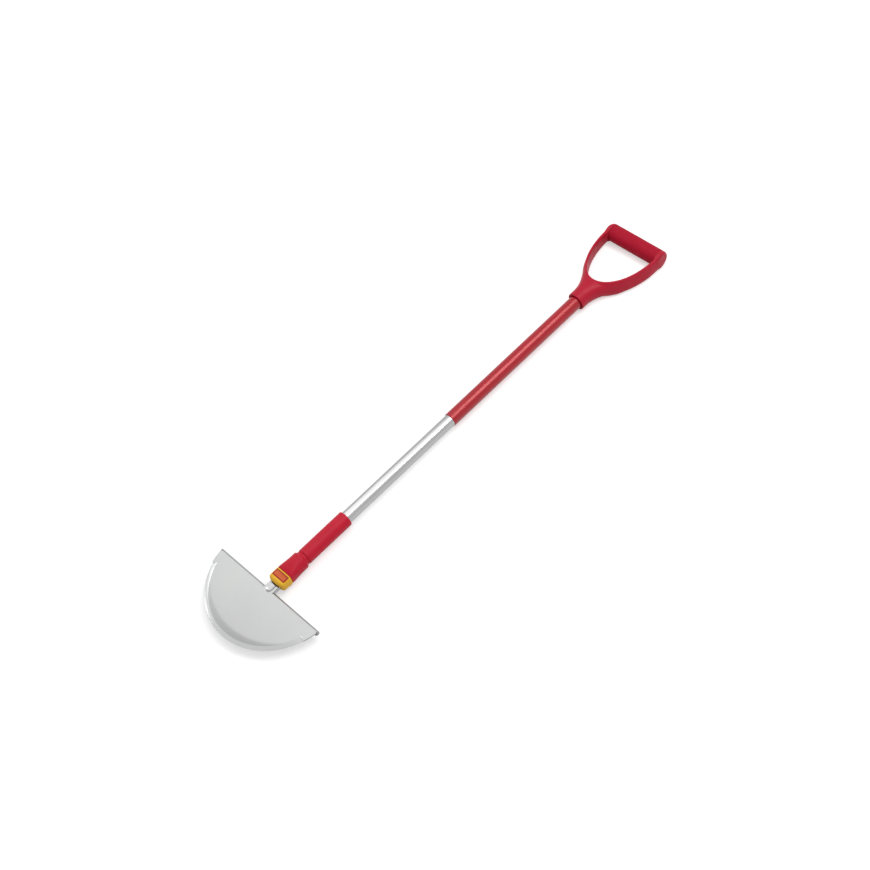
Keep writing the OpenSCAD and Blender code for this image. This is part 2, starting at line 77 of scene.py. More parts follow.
towards = Vector((
    math.sin(camera_turn) * math.cos(camera_height),
    -math.cos(camera_turn) * math.cos(camera_height),
    math.sin(camera_height),
))
camera_data = bpy.data.cameras.new("photo_camera")
camera_data.sensor_width = 36.0
camera_data.lens = camera_lens
camera_data.clip_start = 0.05
camera = bpy.data.objects.new("photo_camera", camera_data)
scene.collection.objects.link(camera)
camera.location = camera_aim + towards * camera_distance
camera.rotation_mode = "QUATERNION"
level = (-towards).to_track_quat("-Z", "Y")
camera.rotation_quaternion = Quaternion(-towards, camera_roll) @ level
scene.camera = camera
scene.view_settings.view_transform = "Standard"
print("camera at", [round(c, 3) for c in camera.location])

# %% [markdown]
# ## Where things are
# Two places fix every drawing: the mouth of the socket, which is the lower end of the
# release button, and the axis of the shaft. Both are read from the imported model, so the
# pieces follow it. A drawing in millimetres then needs one shift and one scale.

# %% The mouth, the axis and the shift into the scene
tube_low, tube_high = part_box("shaft_tube")
mouth = np.array([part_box("release_button")[0].x, 0.0, (tube_low.z + tube_high.z) / 2])


def in_scene(points):
    """Points in millimetres from the mouth and the axis, as metres in the scene."""
    return np.asarray(points, float) * 0.001 + mouth


def from_scene(points):
    """Points in metres in the scene, as millimetres from the mouth and the axis."""
    return (np.asarray(points, float) - mouth) * 1000


def span(node):
    """The lowest and highest corner of a node in millimetres from the mouth and the axis."""
    return from_scene(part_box(node))


print("mouth at", round(mouth[0], 4), "axis", round(mouth[2], 5), "above the floor")

# %% [markdown]
# ## Studio
# The real picture is a cut-out on white, so the stage is a white floor under a white
# world. The world shows at strength 1 to the camera and in reflections, and lights the
# piece more softly. Four panels hang flat under the ceiling, each where a mirrored line of
# sight meets it: one over the near side draws the bright stripe along the soft sleeve, a
# weaker one beside it and a broad one over the far side are what tube and flat steel
# mirror, and a small one lights the left of the ground edge. Lamps this large leave only a
# soft shadow on the floor.

# %% A world that is white where it is seen
world_light = 0.51


def node_of(tree, kind, **inputs):
    """A new shader node with some of its inputs set."""
    made = tree.nodes.new(kind)
    for name, value in inputs.items():
        made.inputs[name.replace("_", " ")].default_value = value
    return made


def seen_directly(tree):
    """A socket that is 1 for camera, glossy and transmission rays, and 0 for the rest."""
    path = tree.nodes.new("ShaderNodeLightPath")
    seen = path.outputs["Is Camera Ray"]
    for ray in ("Is Glossy Ray", "Is Transmission Ray"):
        either = tree.nodes.new("ShaderNodeMath")
        either.operation = "MAXIMUM"
        tree.links.new(seen, either.inputs[0])
        tree.links.new(path.outputs[ray], either.inputs[1])
        seen = either.outputs[0]
    return seen


def light_world():
    """White where it is seen, and a softer level where it lights the piece."""
    world = bpy.data.worlds.new("studio")
    scene.world = world
    world.use_nodes = True
    tree = world.node_tree
    tree.nodes.clear()
    soft = node_of(tree, "ShaderNodeBackground", Color=(1, 1, 1, 1), Strength=world_light)
    white = node_of(tree, "ShaderNodeBackground", Color=(1, 1, 1, 1), Strength=1.0)
    mix = tree.nodes.new("ShaderNodeMixShader")
    out = tree.nodes.new("ShaderNodeOutputWorld")
    tree.links.new(seen_directly(tree), mix.inputs[0])
    tree.links.new(soft.outputs[0], mix.inputs[1])
    tree.links.new(white.outputs[0], mix.inputs[2])
    tree.links.new(mix.outputs[0], out.inputs[0])


light_world()
print("world:", scene.world.name, "lights at", world_light)

# %% A floor that keeps the shadow
floor_half = 1.8
floor_tone = 0.7
floor_glow = 0.5


def lay_floor():
    """A white floor with a little glow for the camera, so that it meets the white world. It
    ends inside the light of the panels, where its rim can't be told from the world."""
    mesh = bpy.data.meshes.new("floor")
    signs = [(-1, -1), (1, -1), (1, 1), (-1, 1)]
    corners = [(floor_half * x, floor_half * y, 0) for x, y in signs]
    mesh.from_pydata(corners, [], [(0, 1, 2, 3)])
    floor = bpy.data.objects.new("floor", mesh)
    scene.collection.objects.link(floor)
    material = bpy.data.materials.new("white_floor")
    material.use_nodes = True
    tree = material.node_tree
    tree.nodes.clear()
    matt = node_of(tree, "ShaderNodeBsdfDiffuse", Color=(floor_tone, floor_tone, floor_tone, 1))
    glow = node_of(tree, "ShaderNodeEmission", Color=(1, 1, 1, 1))
    lift = tree.nodes.new("ShaderNodeMath")
    lift.operation = "MULTIPLY"
    lift.inputs[1].default_value = floor_glow
    add = tree.nodes.new("ShaderNodeAddShader")
    out = tree.nodes.new("ShaderNodeOutputMaterial")
    tree.links.new(seen_directly(tree), lift.inputs[0])
    tree.links.new(lift.outputs[0], glow.inputs["Strength"])
    tree.links.new(matt.outputs[0], add.inputs[0])
    tree.links.new(glow.outputs[0], add.inputs[1])
    tree.links.new(add.outputs[0], out.inputs[0])
    mesh.materials.append(material)


lay_floor()
print("floor:", 2 * floor_half, "m wide")

# %% Four panels under the ceiling
panel_height = 2.0
panels = [
    {"name": "stripe_panel", "x": (0.68, 1.35), "y": (-1.45, 0.05), "glow": 6.0},
    {"name": "tube_panel", "x": (-0.1, 0.68), "y": (-1.3, 0.0), "glow": 1.6},
    {"name": "steel_panel", "x": (-0.2, 0.75), "y": (0.0, 2.6), "glow": 1.25},
    {"name": "rim_panel", "x": (-1.1, -0.3), "y": (1.9, 3.1), "glow": 2.2},
]


def hang_panel(name, x, y, glow):
    """A lamp that fills a rectangle under the ceiling and shines down with an even glow."""
    data = bpy.data.lights.new(name, "AREA")
    data.shape = "RECTANGLE"
    data.size = x[1] - x[0]
    data.size_y = y[1] - y[0]
    data.energy = glow * math.pi * data.size * data.size_y
    lamp = bpy.data.objects.new(name, data)
    scene.collection.objects.link(lamp)
    lamp.location = (sum(x) / 2, sum(y) / 2, panel_height)


for panel in panels:
    hang_panel(**panel)
print("lamps:", len(bpy.data.lights), "at", panel_height, "m")

# %% [markdown]
# ## Meshes from arrays
# A piece could be modelled by hand, but every form here follows a rule: a profile carried
# along a line, or a height over a plan. So each is worked out as an array of points on a
# grid, and four small helpers turn such arrays into closed meshes.

# %% Faces of a grid and outlines with soft corners
def grid_faces(rows, columns, wrap_rows=False, wrap_columns=False):
    """Quads of a grid, row by row: each joins a point to the next along and the next across."""
    i = np.arange(rows if wrap_rows else rows - 1)
    j = np.arange(columns if wrap_columns else columns - 1)
    i, j = np.meshgrid(i, j, indexing="ij")
    next_i = (i + 1) % rows
    next_j = (j + 1) % columns
    corners = [i * columns + j, i * columns + next_j, next_i * columns + next_j, next_i * columns + j]
    return np.stack(corners, axis=-1).reshape(-1, 4)


def soft_corners(corners, radii, steps=5, guard=1.15):
    """A closed outline whose corners are quadratic arcs: each runs from a point one radius
    before the corner to one radius after it, with a guard point just outside both ends."""
    corner = np.asarray(corners, float)
    reach = np.asarray(radii, float)[:, None]
    before = np.roll(corner, 1, axis=0) - corner
    after = np.roll(corner, -1, axis=0) - corner
    before = before / np.linalg.norm(before, axis=1, keepdims=True) * reach
    after = after / np.linalg.norm(after, axis=1, keepdims=True) * reach
    t = np.linspace(0, 1, steps)[None, :, None]
    arc = corner[:, None] + before[:, None] * (1 - t) ** 2 + after[:, None] * t ** 2
    first = (corner + before * guard)[:, None]
    last = (corner + after * guard)[:, None]
    return np.concatenate([first, arc, last], axis=1).reshape(-1, 2)


print("faces of a grid of 3 by 4 points:", len(grid_faces(3, 4)))

# %% Turned rings, closed sheets and the way into Blender
def turned(outline, sides=128):
    """A closed outline of (along, out) carried round the shaft's axis: y = out cos a, z = out sin a."""
    a = np.linspace(0, 2 * np.pi, sides, endpoint=False)
    along, out = outline[:, :1], outline[:, 1:]
    points = np.stack([along + 0 * a, out * np.cos(a), out * np.sin(a)], axis=-1)
    return points.reshape(-1, 3), grid_faces(len(outline), sides, True, True)


def closed_sheet(front, back, quads):
    """A sheet with a front and a back point for each place: the back runs the other way
    round, and a wall joins the two along every edge that only one quad uses."""
    count = len(front)
    edges = np.concatenate([quads[:, [k, (k + 1) % 4]] for k in range(4)])
    forward = edges[:, 0] * count + edges[:, 1]
    reverse = edges[:, 1] * count + edges[:, 0]
    rim = edges[~np.isin(forward, reverse)]
    walls = np.stack([rim[:, 1], rim[:, 0], rim[:, 0] + count, rim[:, 1] + count], axis=1)
    faces = np.concatenate([quads, quads[:, ::-1] + count, walls])
    return np.concatenate([front, back]), faces


def add_piece(name, points, faces, body, finish, stands_for):
    """Puts points and faces into a smooth mesh object that rides on a body, takes a finish and
    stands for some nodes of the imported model."""
    mesh = bpy.data.meshes.new(name)
    mesh.from_pydata(in_scene(points).tolist(), [], [list(map(int, face)) for face in faces])
    mesh.polygons.foreach_set("use_smooth", np.ones(len(mesh.polygons), bool))
    work = bmesh.new()
    work.from_mesh(mesh)
    bmesh.ops.recalc_face_normals(work, faces=work.faces)
    work.to_mesh(mesh)
    work.free()
    mesh.materials.append(finish)
    piece = bpy.data.objects.new(name, mesh)
    scene.collection.objects.link(piece)
    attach(piece, body)
    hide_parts(*stands_for)
    print(name, "on", body, ":", len(mesh.vertices), "points", len(mesh.polygons), "faces")
    return piece


square_ring = np.array([[0.0, 1.0], [1.0, 1.0], [1.0, 2.0], [0.0, 2.0]])
print("a square ring with 8 sides:", len(turned(square_ring, 8)[1]), "faces")

# %% [markdown]
# ## Finishes
# A moulded plastic is never one flat colour: it has a fine grain, slow drifts of tone and a
# gloss that changes a little. Painted image textures would do, but they need unwrapping.
# Noise on Object coordinates gives grain at its real size and stays put when pieces move.

# %% Colours, noise and bumps
def linear(red, green, blue):
    """A colour given in screen values from 0 to 255, as the linear numbers that nodes use."""
    share = np.array([red, green, blue]) / 255
    light = np.where(share <= 0.04045, share / 12.92, ((share + 0.055) / 1.055) ** 2.4)
    return (*light.tolist(), 1.0)


def noise_on(tree, scale, stretch=(1, 1, 1), detail=3.0):
    """Noise on Object coordinates, with the number of waves in a metre along each axis."""
    place = tree.nodes.new("ShaderNodeTexCoord")
    mapping = tree.nodes.new("ShaderNodeMapping")
    mapping.inputs["Scale"].default_value = stretch
    noise = node_of(tree, "ShaderNodeTexNoise", Scale=scale, Detail=detail)
    tree.links.new(place.outputs["Object"], mapping.inputs["Vector"])
    tree.links.new(mapping.outputs[0], noise.inputs["Vector"])
    return noise.outputs[0]


def between(tree, factor, low, high):
    """A number that follows a noise from one value to another."""
    ramp = tree.nodes.new("ShaderNodeMapRange")
    ramp.inputs["From Min"].default_value = 0.3
    ramp.inputs["From Max"].default_value = 0.7
    ramp.inputs["To Min"].default_value = low
    ramp.inputs["To Max"].default_value = high
    tree.links.new(factor, ramp.inputs["Value"])
    return ramp.outputs[0]


def two_tones(tree, factor, first, second):
    """A colour that follows a noise from one tone to another."""
    mix = tree.nodes.new("ShaderNodeMix")
    mix.data_type = "RGBA"
    mix.inputs["A"].default_value = first
    mix.inputs["B"].default_value = second
    tree.links.new(between(tree, factor, 0, 1), mix.inputs["Factor"])
    return mix.outputs["Result"]


def bump_from(tree, height, depth):
    """A bump of some real depth in metres from a height between 0 and 1."""
    bump = node_of(tree, "ShaderNodeBump", Strength=1.0, Distance=depth)
    tree.links.new(height, bump.inputs["Height"])
    return bump.outputs[0]


print("a middle grey as light:", round(linear(128, 128, 128)[0], 3))

# %% Moulded plastic and drawn metal
drift_waves = 28.0
gloss_waves = 90.0
grain_waves = 1500.0
cloud_waves = 22.0


def new_finish(name, metal=0.0, specular=0.5, tint=(1, 1, 1, 1)):
    """An empty material with one Principled shader, whose fixed values sit on its own sockets."""
    material = bpy.data.materials.new(name)
    material.use_nodes = True
    shader = material.node_tree.nodes["Principled BSDF"]
    shader.inputs["Metallic"].default_value = metal
    shader.inputs["Specular IOR Level"].default_value = specular
    shader.inputs["Specular Tint"].default_value = tint
    return material, material.node_tree, shader


def moulded(name, tone, drift, gloss, grain, specular, tint=(1, 1, 1, 1)):
    """Moulded plastic: two close tones in screen values that drift over centimetres, a fine
    grain and its gloss."""
    material, tree, shader = new_finish(name, specular=specular, tint=tint)
    slow = noise_on(tree, drift_waves)
    fine = noise_on(tree, grain_waves, detail=2.0)
    colour = two_tones(tree, slow, linear(*tone), linear(*drift))
    tree.links.new(colour, shader.inputs["Base Color"])
    roughness = between(tree, noise_on(tree, gloss_waves), *gloss)
    tree.links.new(roughness, shader.inputs["Roughness"])
    tree.links.new(bump_from(tree, fine, grain), shader.inputs["Normal"])
    return material


def drawn_metal(name, tone, drift, gloss, lines, depth, stretch=(1, 1, 1)):
    """Metal with slow clouds of tone and fine lines, which run along an axis of small stretch."""
    material, tree, shader = new_finish(name, metal=1.0)
    streaks = noise_on(tree, lines, stretch, detail=4.0)
    clouds = noise_on(tree, cloud_waves)
    tree.links.new(two_tones(tree, clouds, tone, drift), shader.inputs["Base Color"])
    tree.links.new(between(tree, streaks, *gloss), shader.inputs["Roughness"])
    tree.links.new(bump_from(tree, streaks, depth), shader.inputs["Normal"])
    return material


print("a drift of tone spans about", round(1000 / drift_waves), "mm")

# %% The finishes of this tool
satin = (0.4, 0.5)
polished = (0.22, 0.28)
inlay_gloss = (0.25, 0.33)
soft_touch = (0.6, 0.72)
mould_grain = 2e-5
sleeve_grain = 2e-6
touch_grain = 4e-5
inlay_grain = 1e-5
sleeve_tint = (1.0, 0.38, 0.36, 1.0)
red_plastic = moulded("red_plastic", (182, 21, 49), (175, 18, 45), satin, mould_grain, specular=0.22)
# Painted light: the same red plastic as the grip, made lighter for the socket's flare and foot sleeve,
# standing in for the light that falls short at that end of the tool.
red_painted_lighter = moulded("red_painted_lighter", (200, 23, 51), (193, 20, 47), satin, mould_grain, specular=0.22)
red_sleeve = moulded("red_sleeve", (164, 18, 38), (158, 15, 34), polished, sleeve_grain,
                     specular=1.0, tint=sleeve_tint)
grip_soft = moulded("grip_soft", (172, 18, 46), (163, 15, 41), soft_touch, touch_grain, specular=0.15)
yellow_plastic = moulded("yellow_plastic", (246, 192, 52), (240, 184, 46), satin, mould_grain,
                         specular=0.3)
pad_edge = moulded("pad_edge", (172, 50, 22), (166, 44, 18), inlay_gloss, inlay_grain, specular=0.3)
pad_red = moulded("pad_red", (213, 98, 40), (207, 90, 34), inlay_gloss, inlay_grain, specular=0.3)
plate_steel = drawn_metal("plate_steel", (0.362, 0.367, 0.363, 1), (0.35, 0.354, 0.351, 1),
                          gloss=(0.28, 0.32), lines=260.0, depth=4e-7)
ground_steel = drawn_metal("ground_steel", (0.56, 0.565, 0.565, 1), (0.53, 0.535, 0.535, 1),
                           gloss=(0.18, 0.24), lines=900.0, depth=4e-7)
tube_metal = drawn_metal("tube_metal", (0.42, 0.42, 0.42, 1), (0.4, 0.4, 0.405, 1),
                         gloss=(0.2, 0.25), lines=900.0, depth=3e-7, stretch=(0.01, 1, 1))
pressed_steel = drawn_metal("pressed_steel", (0.42, 0.425, 0.44, 1), (0.39, 0.395, 0.41, 1),
                            gloss=(0.28, 0.36), lines=300.0, depth=1e-6, stretch=(0.3, 1, 1))
wire_steel = drawn_metal("wire_steel", (0.38, 0.38, 0.4, 1), (0.33, 0.33, 0.35, 1),
                         gloss=(0.3, 0.4), lines=900.0, depth=1e-6, stretch=(0.05, 1, 1))
rivet_metal = drawn_metal("rivet_metal", (0.55, 0.55, 0.55, 1), (0.48, 0.48, 0.49, 1),
                          gloss=(0.35, 0.45), lines=700.0, depth=2e-6)
print("finishes:", len(bpy.data.materials))

# %% [markdown]
# ## Shaft
# The shaft is a drawn tube with a thin glossy sleeve shrunk on its upper half. Each is a
# turned ring: a closed outline of its wall, with soft corners, carried round the axis. A
# primitive cylinder has no wall and no soft edge to catch the light, so the outline is
# drawn instead.

# %% Tube and soft sleeve
def wall_outline(node, wall, edge):
    """The cut through a ring's wall: its ends, its outside and its bore, with soft corners."""
    low, high = span(node)
    out = high[1]
    corners = [[low[0], out - wall], [high[0], out - wall], [high[0], out], [low[0], out]]
    return soft_corners(corners, edge)


tube_wall = 1.2
cover_wall = 1.0
points, faces = turned(wall_outline("shaft_tube", tube_wall, [0.3] * 4))
add_piece("bare_tube", points, faces, "handle", tube_metal, ["shaft_tube"])
points, faces = turned(wall_outline("shaft_sleeve", cover_wall, [0.3, 0.3, 0.45, 0.45]))
add_piece("soft_sleeve", points, faces, "handle", red_sleeve, ["shaft_sleeve"])

# %% [markdown]
# ## Blade
# The blade is one steel sheet: a half moon with a dished margin, a ground cutting edge, a
# groove pressed into its neck and a top edge rolled back on both sides into foot treads.
# Cutting and bending a flat mesh by hand would work. A grid is surer: lines run out from
# the centre of the arc, so that the rim, the grind and the dish all follow its rows, and
# the same lines run on into the rolls and the neck tab. A front and a back point at each
# place make it a closed sheet.

# %% Stations along the arc
blade_high = span("blade")[1]
sheet_t = 2.0
roll_r = 4.0
tread_top = -10.0
roll_x = tread_top - roll_r
front_z = blade_high[2]
roll_z = front_z - roll_r
half_moon = blade_high[1]
moon_depth = 101.5
rim_r = (half_moon ** 2 + moon_depth ** 2) / (2 * moon_depth)
rim_x = tread_top - moon_depth + rim_r
centre_gap = rim_x - roll_x
grind_step = 1.2
grind_w = 7.0
grind_t = 0.5
grind_end = math.radians(69.9)
grind_runout = 1.8
tab_half = 9.4
tab_fillet = 0.8
tab_end = -0.4
slit_y = tab_half + tab_fillet
tip_angle = 82.0
plain_step = 0.9
plain_end = 68.6
tip_start = 71.2
tip_step = 0.4


def arc_stations():
    """Angles from the lowest point of the arc to a tip, with the tab's and the grind's own."""
    at_line = np.arctan(np.array([tab_half, tab_half + 0.05, slit_y - 0.7, slit_y]) / centre_gap)
    at_grind = grind_end + np.radians(np.linspace(-0.5, 0.5, 17) * grind_runout)
    flank = np.arange(0, plain_end, plain_step)
    tip = np.arange(tip_start, tip_angle, tip_step)
    plain = np.radians(np.concatenate([flank, tip, [tip_angle]]))
    right = np.unique(np.round(np.concatenate([plain, at_line, at_grind]), 6))
    return np.concatenate([-right[:0:-1], right])


stations = arc_stations()
line_y = centre_gap * np.tan(stations)
print("arc stations:", len(stations), "from", round(line_y[0], 1), "to", round(line_y[-1], 1))

# %% Grind, dish and groove over the plan
dish_w = 24.0
dish_drop = 1.1
dish_start = 0.18
dish_run = 0.62
groove_r = 9.3
groove_axis = 10.6
groove_end = -10.5
groove_soft = 0.25


def smooth(t):
    """A soft run from 0 to 1 as t goes from 0 to 1: t^2 (3 - 2 t)."""
    t = np.clip(t, 0, 1)
    return t ** 2 * (3 - 2 * t)


def ground(angle):
    """1 where the rim is ground and 0 near the tips, with a soft run-out between."""
    return smooth((grind_end - np.abs(angle)) / math.radians(grind_runout) + 0.5)


def dish(x, y):
    """The dish's drop: an S-shaped step outside a circle that runs through both tips."""
    depth = moon_depth - dish_w
    radius = (half_moon ** 2 + depth ** 2) / (2 * depth)
    share = (np.hypot(x - (tread_top - depth + radius), y) - radius) / dish_w
    return dish_drop * smooth((share - dish_start) / dish_run)


def groove(x, y):
    """The neck's groove: a round trough along the middle that runs out in a ball."""
    out = np.hypot(y, np.minimum(x - groove_end, 0))
    trough = groove_axis - np.sqrt(np.maximum(groove_r ** 2 - out ** 2, 0.01))
    drop = np.maximum(front_z - trough, 0)
    return np.where(out < groove_r, drop ** 2 / (drop + groove_soft), 0)


print("groove at the tab's end:", round(float(groove(tab_end, 0.0)), 2), "mm deep")

# %% Grids of the sheet, of a roll and of the tab
roll_run = 26.0
lip_turn = 100.0
roll_turn = 270.0
roll_rows = 40
tip_zone = 8.0
tip_turn = 0.2
tab_rows = 14
margin_rows = [0, 0.4, 1.2, 2.4, 3.6, 4.8, 6, 6.85, 7.15, 8, 9.5, 11, 13, 15, 17, 19, 21.5, 24]
margin_share = 0.8
inner_rows = 46
inner_crowd = 0.8


def moon_grid():
    """Rows from the rim in to the straight edge: distance from the rim e on lines through the
    arc's centre, x = centre - (rim - e) cos a and y = (rim - e) sin a."""
    angle = stations[None, :]
    rim = rim_r - grind_step * ground(angle)
    room = rim - centre_gap / np.cos(angle)
    near = np.array(margin_rows)
    far = np.linspace(0, 1, inner_rows)[1:] ** inner_crowd
    near = near[:, None] * np.minimum(1, margin_share * room / dish_w)
    far = near[-1:] + (room - near[-1:]) * far[:, None]
    e = np.concatenate([near, far])
    x = rim_x - (rim - e) * np.cos(angle)
    y = (rim - e) * np.sin(angle)
    slope = np.clip(grind_w - e, 0, None) / grind_w * (sheet_t - grind_t) * ground(angle)
    flat = front_z - dish(x, y) - groove(x, y)
    return np.stack([x, y, flat - slope], -1), np.stack([x, y, flat - sheet_t], -1)


def roll_grid(y):
    """A roll that opens towards the neck: x = roll_x + r sin p and z = roll_z + r cos p, where p
    ends at three quarters of a turn and falls to a bent lip beside the tab."""
    last = lip_turn + (roll_turn - lip_turn) * smooth((np.abs(y) - slit_y) / roll_run)
    p = np.radians(last)[None, :] * np.linspace(0, 1, roll_rows)[:, None]
    y = y[None, :] + 0 * p
    reach = np.sign(y) * (half_moon - np.abs(line_y).max()) * np.clip(p / tip_turn, 0, 1)
    y = y + reach * (np.abs(y) > half_moon - tip_zone)
    rings = [np.stack([roll_x + r * np.sin(p), y, roll_z + r * np.cos(p)], -1)
             for r in (roll_r, roll_r - sheet_t)]
    return rings[0], rings[1]


def tab_grid(y):
    """The neck tab: from the straight edge up to its end, or to the fillet beside it."""
    share = np.linspace(0, 1, tab_rows)[:, None]
    beside = np.abs(y) > tab_half + 0.01
    rise = np.maximum(tab_fillet ** 2 - (slit_y - np.abs(y)) ** 2, 0)
    fillet = roll_x + tab_fillet - np.sqrt(rise)
    end = np.where(beside, fillet, tab_end)
    x = roll_x + (end - roll_x) * share
    z = front_z - groove(x, y[None, :])
    y = y[None, :] + 0 * x
    return np.stack([x, y, z], -1), np.stack([x, y, z - sheet_t], -1)


in_tab = np.abs(line_y) < slit_y - 0.5
left_roll = line_y > slit_y - 0.01
right_roll = line_y < 0.01 - slit_y
sheet_parts = [
    moon_grid(),
    roll_grid(line_y[left_roll]),
    roll_grid(line_y[right_roll]),
    tab_grid(line_y[in_tab]),
]
print("grids of the blade:", [part[0].shape[:2] for part in sheet_parts])

# %% Weld the grids into one sheet and close it
def welded(parts):
    """Joins grids of (front, back) points into one sheet, with the places they share made one."""
    fronts, backs, quads, start = [], [], [], 0
    for front, back in parts:
        rows, columns = front.shape[:2]
        quads.append(grid_faces(rows, columns) + start)
        start += rows * columns
        fronts.append(front.reshape(-1, 3))
        backs.append(back.reshape(-1, 3))
    front = np.concatenate(fronts)
    places = np.round(front, 4)
    _, first, same = np.unique(places, axis=0, return_index=True, return_inverse=True)
    return front[first], np.concatenate(backs)[first], same.reshape(-1)[np.concatenate(quads)]


front, back, quads = welded(sheet_parts)
points, faces = closed_sheet(front, back, quads)
blade = add_piece("half_moon", points, faces, "head", plate_steel, ["blade"])
blade.data.materials.append(ground_steel)

# %% [markdown]
# ### Ground edge
# Grinding leaves a brighter face than the plated sheet. The sheet's front faces come first
# in the mesh, so the ground ones are those of them that lie close to the rim.

# %% Give the ground faces their own finish
middles = np.zeros(len(blade.data.polygons) * 3)
blade.data.polygons.foreach_get("center", middles)
middles = from_scene(middles.reshape(-1, 3))
out = np.hypot(middles[:, 0] - rim_x, middles[:, 1])
angle = np.abs(np.arctan2(middles[:, 1], rim_x - middles[:, 0]))
on_front = np.arange(len(out)) < len(quads)
last_ground = grind_end + math.radians(grind_runout) / 2
is_ground = on_front & (out > rim_r - grind_step - grind_w) & (angle < last_ground)
blade.data.polygons.foreach_set("material_index", is_ground.astype(np.int32))
print("ground faces:", int(is_ground.sum()))

# %% [markdown]
# ## Forms that branch or hold hollows
# The D-grip splits from one collar into two arms, and the button and the socket are shells
# round a slot. No single grid covers such a form. Sculpting a joined mesh would do it, but
# here each is a field: a formula that is negative inside and positive outside. Fields join
# and cut softly, as moulded corners do, and surface nets then draw the level where the
# field is zero.

# %% Soft joins, boxes and rods
def join(a, b, soft):
    """The union of two fields, rounded by about soft where they meet: min(a, b) - soft h (1 - h)."""
    h = np.clip(0.5 + 0.5 * (b - a) / soft, 0, 1)
    return b + (a - b) * h - soft * h * (1 - h)


def cut(a, b, soft):
    """A field with another taken out of it, and a soft lip between."""
    return -join(-a, b, soft)


def round_box(x, y, z, low, high, edge):
    """Distance to a box with round edges: the length of what lies outside a smaller box, less edge."""
    gaps = [np.abs(p - (a + b) / 2) - (b - a) / 2 + edge for p, a, b in zip((x, y, z), low, high)]
    outside = np.sqrt(sum(np.maximum(gap, 0) ** 2 for gap in gaps))
    inside = np.minimum(np.maximum(np.maximum(gaps[0], gaps[1]), gaps[2]), 0)
    return outside + inside - edge


def round_rod(along, out, low, high, radius, edge):
    """Distance to a rod with round ends: as a box, in the distance along it and out from its axis."""
    first = np.abs(along - (low + high) / 2) - (high - low) / 2 + edge
    second = out - radius + edge
    outside = np.hypot(np.maximum(first, 0), np.maximum(second, 0))
    return outside + np.minimum(np.maximum(first, second), 0) - edge


print("two fields of 1 join softly at", join(1.0, 1.0, 2.0))

# %% Surface nets: points and quads on the zero level
def net_points(value, low, step):
    """One point in each cell that the zero level crosses: the mean of the crossings on its edges."""
    cells = tuple(n - 1 for n in value.shape)
    total = np.zeros((*cells, 3))
    hits = np.zeros(cells)
    edges = []
    for axis in range(3):
        order = (axis, (axis + 1) % 3, (axis + 2) % 3)
        turned_value = value.transpose(order)
        first, second = turned_value[:-1], turned_value[1:]
        crossed = (first < 0) != (second < 0)
        share = np.divide(first, first - second, out=np.zeros_like(first), where=crossed)
        place = np.indices(crossed.shape)
        cell_total = total.transpose(*order, 3)
        cell_hits = hits.transpose(order)
        for one in (0, 1):
            for two in (0, 1):
                pick = np.s_[:, one:crossed.shape[1] - 1 + one, two:crossed.shape[2] - 1 + two]
                cell_total[..., order[0]] += crossed[pick] * (place[0][pick] + share[pick])
                cell_total[..., order[1]] += crossed[pick] * place[1][pick]
                cell_total[..., order[2]] += crossed[pick] * place[2][pick]
                cell_hits += crossed[pick]
        edges.append((order, crossed, first < 0))
    used = hits > 0
    number = np.full(cells, -1)
    number[used] = np.arange(used.sum())
    return np.asarray(low) + step * total[used] / hits[used][:, None], number, edges


def net_quads(number, edges):
    """One quad round each edge that the level crosses, through its four cells, facing outwards."""
    quads = []
    for order, crossed, inside in edges:
        cell = number.transpose(order)
        ring = [cell[:, :-1, :-1], cell[:, 1:, :-1], cell[:, 1:, 1:], cell[:, :-1, 1:]]
        mask = crossed[:, 1:-1, 1:-1]
        quad = np.stack([part[mask] for part in ring], axis=1)
        outward = inside[:, 1:-1, 1:-1][mask]
        quads.append(np.where(outward[:, None], quad, quad[:, ::-1]))
    return np.concatenate(quads)


trial = np.ones((4, 4, 4))
trial[1:3, 1:3, 1:3] = -1
print("net round 2 by 2 by 2 points:", len(net_points(trial, [0, 0, 0], 1.0)[0]), "points")

# %% The settled skin of a field
def settle(field, points, quads, step, rounds=3):
    """Evens the net out, then walks each point along the field's slope onto its zero level."""
    edges = np.concatenate([quads[:, [k, (k + 1) % 4]] for k in range(4)])
    count = np.bincount(edges[:, 0], minlength=len(points))[:, None]
    probe = step * 0.02
    least_slope = 0.05
    for _ in range(rounds):
        near = [np.bincount(edges[:, 0], points[edges[:, 1], axis], len(points)) for axis in range(3)]
        points = 0.5 * points + 0.5 * np.stack(near, axis=1) / count
        for _ in range(2):
            value = field(*points.T)
            nearby = [field(*(points + probe * side).T) for side in np.eye(3)]
            slope = np.stack([(other - value) / probe for other in nearby], 1)
            walk = slope * (value / np.maximum((slope ** 2).sum(1), least_slope))[:, None]
            points = points - np.clip(walk, -step / 2, step / 2)
    return points


def skin(field, low, high, step):
    """The closed surface where a field is zero inside a box, as points and quads."""
    axes = [np.arange(a - 2 * step, b + 3 * step, step) for a, b in zip(low, high)]
    value = field(*np.meshgrid(*axes, indexing="ij"))
    points, number, edges = net_points(value, np.asarray(low) - 2 * step, step)
    quads = net_quads(number, edges)
    return settle(field, points, quads, step), quads


def trial_ball(x, y, z):
    """Distance to a ball of 5 mm, to see how close the skin comes to it."""
    return np.sqrt(x ** 2 + y ** 2 + z ** 2) - 5


points, faces = skin(trial_ball, [-5] * 3, [5] * 3, 1.0)
trial_r = np.linalg.norm(points, axis=1)
print("trial ball:", len(faces), "quads, from", round(trial_r.min(), 3), "to", round(trial_r.max(), 3))

# %% [markdown]
# ## D-grip
# The grip is one red moulding: a collar that the shaft is riveted into, a throat that opens
# like a trumpet, two arms and the round ends of the hand bar. The arms lie between two half
# ellipses, and their section is a squared-off round that leans out at the back. A softer
# cover is moulded over the bar.

